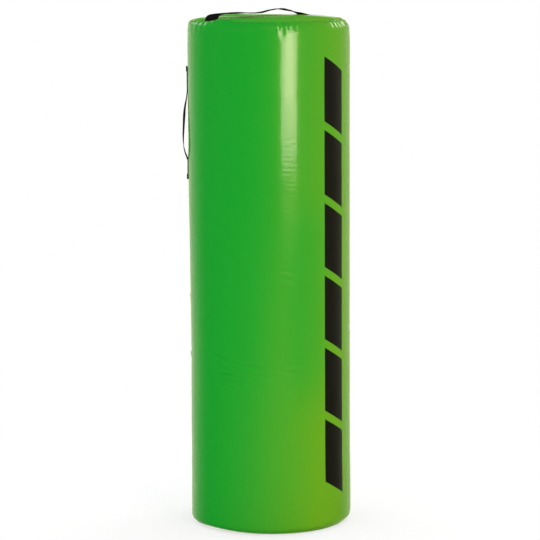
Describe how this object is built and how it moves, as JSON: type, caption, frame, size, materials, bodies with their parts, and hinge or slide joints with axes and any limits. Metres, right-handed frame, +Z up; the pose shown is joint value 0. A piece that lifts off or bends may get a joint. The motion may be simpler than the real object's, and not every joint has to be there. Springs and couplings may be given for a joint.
{
  "type": "tackling bag",
  "caption": "Upright foam-filled cylinder in a sewn PVC cover, with a webbing side handle, a webbing top handle and a hook-and-loop closure flap at the back.",
  "frame": {"origin": "centre of the base panel's outer face, on the ground", "axes": "+Z up along the bag, -Y towards the front that the picture shows, -X towards the side handle"},
  "size_m": [0.4684, 0.4587, 1.4566],
  "materials": {
    "green_pvc": "gloss",
    "stiff_pvc": "satin",
    "black_webbing": "matte",
    "binding_tape": "matte",
    "loop_pile": "matte",
    "hook_tape": "matte",
    "dense_foam": "matte",
    "soft_foam": "matte"
  },
  "bodies": {
    "bag": {"wall_panel": "green_pvc", "top_panel": "green_pvc", "base_panel": "green_pvc", "base_reinforcement": "stiff_pvc", "top_seam_binding": "binding_tape", "base_seam_binding": "binding_tape", "base_pad": "dense_foam", "top_pad": "dense_foam", "foam_core": "dense_foam", "foam_middle_sleeve": "soft_foam", "foam_outer_sleeve": "soft_foam", "side_handle_upper_end": "black_webbing", "side_handle_lower_end": "black_webbing", "side_handle_upper_backing": "stiff_pvc", "side_handle_lower_backing": "stiff_pvc", "top_handle_front_end": "black_webbing", "top_handle_rear_end": "black_webbing", "flap_seam_strip": "green_pvc", "loop_tape": "loop_pile"},
    "side_handle": {"side_handle_grip": "black_webbing"},
    "top_handle": {"top_handle_grip": "black_webbing"},
    "flap": {"closure_flap": "green_pvc", "flap_hook_tape": "hook_tape"}
  },
  "joints": [
    {"name": "side_handle_swing", "type": "hinge", "parent": "bag", "child": "side_handle", "pos_m": [-0.2273, 0, 1.113], "axis": [0, 0, 1], "range_deg": [-15, 15]},
    {"name": "top_handle_swing", "type": "hinge", "parent": "bag", "child": "top_handle", "pos_m": [0, 0, 1.4396], "axis": [0.7254, 0.6884, 0], "range_deg": [-15, 15]},
    {"name": "closure_flap_hinge", "type": "hinge", "parent": "bag", "child": "flap", "pos_m": [0.03862, 0.22856, 0.715], "axis": [0, 0, -1], "range_deg": [0, 160]}
  ]
}
